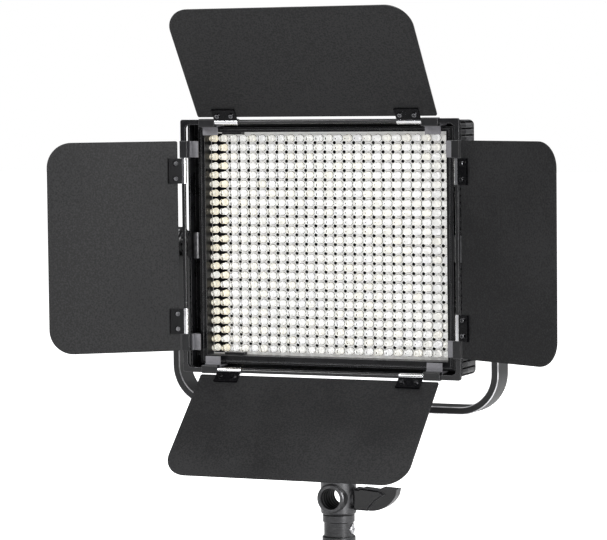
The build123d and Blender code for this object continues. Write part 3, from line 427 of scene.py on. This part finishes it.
# ------------------------------------------------------------ node trees for what repeats
class Maker:
    """A node tree with named inputs, built once and turned into a plain mesh."""

    def __init__(self, name, inputs):
        self.tree = bpy.data.node_groups.new(name, "GeometryNodeTree")
        self.tree.interface.new_socket("Geometry", in_out="OUTPUT", socket_type="NodeSocketGeometry")
        self.sockets = {}
        for label, value in inputs.items():
            kind = "NodeSocketInt" if isinstance(value, int) else "NodeSocketFloat"
            socket = self.tree.interface.new_socket(label, in_out="INPUT", socket_type=kind)
            socket.default_value = value
            self.sockets[label] = (socket.identifier, value)
        self.given = self.tree.nodes.new("NodeGroupInput").outputs
        self.out = self.tree.nodes.new("NodeGroupOutput")

    def add(self, kind, inputs=None, **settings):
        node = self.tree.nodes.new(kind)
        for key, value in settings.items():
            setattr(node, key, value)
        for key, value in (inputs or {}).items():
            self.feed(node.inputs[key], value)
        return node

    def feed(self, socket, value):
        if isinstance(value, bpy.types.NodeSocket):
            self.tree.links.new(value, socket)
        elif isinstance(value, str) and value in self.sockets:
            self.tree.links.new(self.given[value], socket)
        else:
            socket.default_value = value

    def math(self, kind, first, second=0.0):
        return self.add("ShaderNodeMath", {0: first, 1: second}, operation=kind).outputs[0]

    def vector(self, x=0.0, y=0.0, z=0.0):
        return self.add("ShaderNodeCombineXYZ", {"X": x, "Y": y, "Z": z}).outputs[0]

    def move(self, geometry, shift=(0, 0, 0), turn=(0, 0, 0), scale=(1, 1, 1)):
        return self.add("GeometryNodeTransform", {"Geometry": geometry, "Translation": shift,
                                                  "Rotation": turn, "Scale": scale}).outputs[0]

    def join(self, *parts):
        node = self.add("GeometryNodeJoinGeometry")
        for part in parts:
            self.tree.links.new(part, node.inputs[0])
        return node.outputs[0]

    def repeat(self, points, piece):
        """One copy of the piece on each point."""
        return self.add("GeometryNodeInstanceOnPoints", {"Points": points, "Instance": piece}).outputs[0]

    def disc(self, sides, radius, depth):
        return self.add("GeometryNodeMeshCylinder",
                        {"Vertices": sides, "Radius": radius, "Depth": depth}).outputs[0]

    def grow(self, mesh, selection, along, scale=None):
        """Pushes the chosen faces out, then draws the new end in by scale."""
        push = self.add("GeometryNodeExtrudeMesh",
                        {"Mesh": mesh, "Selection": selection, "Offset Scale": along}, mode="FACES")
        if scale is None:
            return push.outputs["Mesh"], push.outputs["Top"]
        pull = self.add("GeometryNodeScaleElements",
                        {"Geometry": push.outputs["Mesh"], "Selection": push.outputs["Top"], "Scale": scale})
        return pull.outputs["Geometry"], push.outputs["Top"]

    def finish(self, geometry, material):
        solid = self.add("GeometryNodeRealizeInstances", {"Geometry": geometry}).outputs[0]
        painted = self.add("GeometryNodeSetMaterial", {"Geometry": solid, "Material": material}).outputs[0]
        self.tree.links.new(painted, self.out.inputs[0])

    def make(self, name):
        mesh = bpy.data.meshes.new(name)
        piece = bpy.data.objects.new(name, mesh)
        bpy.context.scene.collection.objects.link(piece)
        modifier = piece.modifiers.new("maker", "NODES")
        modifier.node_group = self.tree
        for identifier, value in self.sockets.values():
            modifier[identifier] = value
        seen = piece.evaluated_get(bpy.context.evaluated_depsgraph_get())
        made = bpy.data.meshes.new_from_object(seen)
        piece.modifiers.remove(modifier)
        piece.data = made
        made.name = name
        return piece


def grid_of(maker, centre, columns, rows, pitch_x, pitch_z):
    """Points on a grid in the plane of the board."""
    wide = maker.math("MULTIPLY", maker.math("SUBTRACT", columns, 1), pitch_x)
    tall = maker.math("MULTIPLY", maker.math("SUBTRACT", rows, 1), pitch_z)
    grid = maker.add("GeometryNodeMeshGrid", {"Size X": wide, "Size Y": tall, "Vertices X": columns,
                                              "Vertices Y": rows}).outputs["Mesh"]
    return maker.move(grid, centre, FACING_FRONT)


def lamp_domes():
    """The LEDs' clear resin: a flange, a straight body and a dome, one on each grid point."""
    low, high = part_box("lamp_beads")
    radius, flange, body = 2.5 * MM, 2.9 * MM, 5.1 * MM
    pitch_x = (high.x - low.x - 2 * flange) / (LAMP_COLUMNS - 1)
    pitch_z = (high.z - low.z - 2 * flange) / (LAMP_ROWS - 1)
    m = Maker("lamp_domes", {"Columns": LAMP_COLUMNS, "Rows": LAMP_ROWS,
                             "Pitch X": pitch_x, "Pitch Z": pitch_z,
                             "Radius": radius, "Flange": flange, "Flange height": 1 * MM, "Body": body})
    foot = m.add("GeometryNodeMeshCircle", {"Vertices": 12, "Radius": "Flange"},
                 fill_type="NGON").outputs[0]
    shape, top = m.grow(foot, True, "Flange height")
    shape, top = m.grow(shape, top, 0.0001 * MM, m.math("DIVIDE", "Radius", "Flange"))
    shape, top = m.grow(shape, top, "Body")
    for turn in range(1, 4):
        before, now = math.radians(30 * (turn - 1)), math.radians(30 * turn)
        lift = m.math("MULTIPLY", "Radius", math.sin(now) - math.sin(before))
        shape, top = m.grow(shape, top, lift, max(math.cos(now), 0.06) / math.cos(before))
    base = m.add("GeometryNodeFlipFaces", {"Mesh": foot}).outputs[0]
    merged = m.add("GeometryNodeMergeByDistance",
                   {"Geometry": m.join(shape, base), "Distance": 0.00002 * MM}).outputs[0]
    smooth = m.add("GeometryNodeSetShadeSmooth", {0: merged}).outputs[0]
    centre = ((low.x + high.x) / 2, high.y - 0.05 * MM, (low.z + high.z) / 2)
    points = grid_of(m, centre, "Columns", "Rows", "Pitch X", "Pitch Z")
    m.finish(m.repeat(points, m.move(smooth, turn=FACING_FRONT)), lamp_clear)
    piece = m.make("lamp_domes")
    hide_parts("lamp_beads")
    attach(piece, "panel")
    return pitch_x, pitch_z


def lamp_cups(pitch_x, pitch_z):
    """The bright cup inside each LED: a cone that opens to the front, over a thin round plate."""
    low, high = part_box("lamp_beads")
    m = Maker("lamp_cups", {"Columns": LAMP_COLUMNS, "Rows": LAMP_ROWS,
                            "Pitch X": pitch_x, "Pitch Z": pitch_z,
                            "Mouth": 1.45 * MM, "Foot": 0.8 * MM, "Depth": 2.2 * MM, "Base": 2.5 * MM})
    cone = m.add("GeometryNodeMeshCone", {"Vertices": 10, "Radius Top": "Mouth", "Radius Bottom": "Foot",
                                          "Depth": "Depth"}).outputs[0]
    plate = m.move(m.disc(14, "Base", 0.3 * MM), (0, 0, -0.85 * MM))
    cup = m.move(m.join(cone, plate), turn=FACING_FRONT)
    centre = ((low.x + high.x) / 2, high.y - 1.1 * MM, (low.z + high.z) / 2)
    points = grid_of(m, centre, "Columns", "Rows", "Pitch X", "Pitch Z")
    laid = m.repeat(points, cup)
    index = m.add("GeometryNodeInputIndex").outputs[0]
    column = m.math("FLOOR", m.math("DIVIDE", index, "Rows"))
    row = m.math("MODULO", index, "Rows")
    turns = m.math("MODULO", m.math("ADD", column, row), 2.0)
    stray = m.add("FunctionNodeRandomValue", {2: 0.0, 3: 0.42, "Seed": 7}, data_type="FLOAT").outputs[1]
    # painted shade: the first two columns get a warmer, dimmer tint, for the shade the frame casts at the
    # board's left
    first = m.math("MULTIPLY", m.math("LESS_THAN", column, 1.5), 0.5)
    tint = m.math("ADD", m.math("ADD", m.math("MULTIPLY", turns, 0.35), stray), first)
    stored = m.add("GeometryNodeStoreNamedAttribute", {"Geometry": laid, "Name": "tint", "Value": tint},
                   data_type="FLOAT", domain="INSTANCE")
    m.finish(stored.outputs[0], lamp_cup)
    piece = m.make("lamp_cups")
    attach(piece, "panel")


def board_holes(pitch_x, pitch_z):
    """Round holes where four LEDs meet, each with a lacquer ring round a black disc painted as the shade
    inside the hole, and a black disc under each LED's foot painted as the shade in the gap round it.
    """
    low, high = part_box("lamp_beads")
    centre = ((low.x + high.x) / 2, high.y - 0.02 * MM, (low.z + high.z) / 2)
    # the black discs are painted shade: inside each hole and in the gap round each LED's foot
    for name, outer, height, material, slot in (
            ("hole_rings", 1.55 * MM, 0.10 * MM, board_white, "board_white"),
            ("hole_shades", 1.3 * MM, 0.14 * MM, near_black, "trim_black"),
            ("lamp_foot_shades", 3.1 * MM, 0.12 * MM, near_black, "trim_black")):
        fewer = 0 if name == "lamp_foot_shades" else 1
        m = Maker(name, {"Columns": LAMP_COLUMNS - fewer, "Rows": LAMP_ROWS - fewer, "Pitch X": pitch_x,
                         "Pitch Z": pitch_z, "Radius": outer, "Height": height})
        disc = m.move(m.disc(12, "Radius", "Height"), turn=FACING_FRONT)
        points = grid_of(m, centre, "Columns", "Rows", "Pitch X", "Pitch Z")
        m.finish(m.repeat(points, disc), material)
        piece = m.make(name)
        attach(piece, "panel")


def dark_edge_strip():
    """A black strip on the board under the first column of LEDs, with a short tongue between each two rows.
    """
    low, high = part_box("lamp_beads")
    board_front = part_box("lamp_board")[0].y
    left, right = low.x - 0.4 * MM, low.x + 8.6 * MM
    middle_z, tall = (low.z + high.z) / 2, high.z - low.z + 2.0 * MM
    pitch = (high.z - low.z - 5.8 * MM) / (LAMP_ROWS - 1)
    m = Maker("dark_edge_strip", {"Rows": LAMP_ROWS - 1, "Pitch": pitch, "Thickness": 0.12 * MM})
    strip = m.add("GeometryNodeMeshCube", {"Size": m.vector(right - left, "Thickness", tall)}).outputs[0]
    strip = m.move(strip, ((left + right) / 2, board_front - 0.04 * MM, middle_z))
    tongue = m.move(m.disc(12, 1.3 * MM, "Thickness"), turn=FACING_FRONT, scale=(2.6, 1.0, 0.8))
    first = (right, board_front - 0.05 * MM, middle_z - pitch * (LAMP_ROWS - 2) / 2)
    line = m.add("GeometryNodeMeshLine", {"Count": "Rows", "Offset": m.vector(0.0, 0.0, "Pitch"),
                                          "Start Location": first}).outputs[0]
    m.finish(m.join(strip, m.repeat(line, tongue)), near_black)
    piece = m.make("dark_edge_strip")
    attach(piece, "panel")


pitch_x, pitch_z = lamp_domes()
lamp_cups(pitch_x, pitch_z)
board_holes(pitch_x, pitch_z)
dark_edge_strip()

# ------------------------------------------------------------ floor, lights and camera
floor_mesh = bpy.data.meshes.new("floor")
floor_mesh.from_pydata([(-9, -9, 0), (9, -9, 0), (9, 9, 0), (-9, 9, 0)], [], [(0, 1, 2, 3)])
floor = bpy.data.objects.new("floor", floor_mesh)
floor.data.materials.append(studio_floor())
bpy.context.scene.collection.objects.link(floor)


def softbox(name, place, aim, size, power):
    data = bpy.data.lights.new(name, "AREA")
    data.shape = "RECTANGLE"
    data.size, data.size_y = size
    data.energy = power
    lamp = bpy.data.objects.new(name, data)
    lamp.location = place
    lamp.rotation_mode = "QUATERNION"
    lamp.rotation_quaternion = (Vector(aim) - Vector(place)).to_track_quat("-Z", "Y")
    bpy.context.scene.collection.objects.link(lamp)


middle = (0, 0, 0.24)
softbox("key", (-1.3, -1.5, 1.6), middle, (0.9, 0.9), 36)
softbox("fill", (1.9, -1.0, 0.7), middle, (0.6, 1.4), 34)
softbox("overhead", (0.2, 0.1, 2.0), middle, (1.4, 1.0), 34)
softbox("rim", (1.2, 1.5, 1.0), middle, (0.8, 1.2), 6)

world = bpy.data.worlds.new("studio")
world.use_nodes = True
sky = world.node_tree
backdrop = sky.nodes["Background"]
backdrop.inputs["Color"].default_value = (1, 1, 1, 1)
backdrop.inputs["Strength"].default_value = 1.0
room = sky.nodes.new("ShaderNodeBackground")
room.inputs["Color"].default_value = (0.96, 0.97, 1.0, 1)
room.inputs["Strength"].default_value = 0.14
seen_by = sky.nodes.new("ShaderNodeLightPath")
chosen = sky.nodes.new("ShaderNodeMixShader")
sky.links.new(seen_by.outputs["Is Camera Ray"], chosen.inputs["Fac"])
sky.links.new(room.outputs["Background"], chosen.inputs[1])
sky.links.new(backdrop.outputs["Background"], chosen.inputs[2])
sky.links.new(chosen.outputs["Shader"], sky.nodes["World Output"].inputs["Surface"])
bpy.context.scene.world = world
bpy.context.scene.view_settings.view_transform = "Standard"

camera_data = bpy.data.cameras.new("camera")
camera_data.sensor_width = 36
camera_data.lens = 170.93
camera_data.clip_start, camera_data.clip_end = 0.05, 60
camera = bpy.data.objects.new("camera", camera_data)
bpy.context.scene.collection.objects.link(camera)
eye, target = Vector((0.87223, -2.02069, 0.35726)), Vector((-0.02277, -0.0105, 0.21746))
camera.rotation_mode = "QUATERNION"
look = (target - eye).to_track_quat("-Z", "Y").to_matrix()
camera.rotation_quaternion = (look @ Matrix.Rotation(math.radians(-0.63), 3, "Z")).to_quaternion()
camera.location = eye
bpy.context.scene.camera = camera
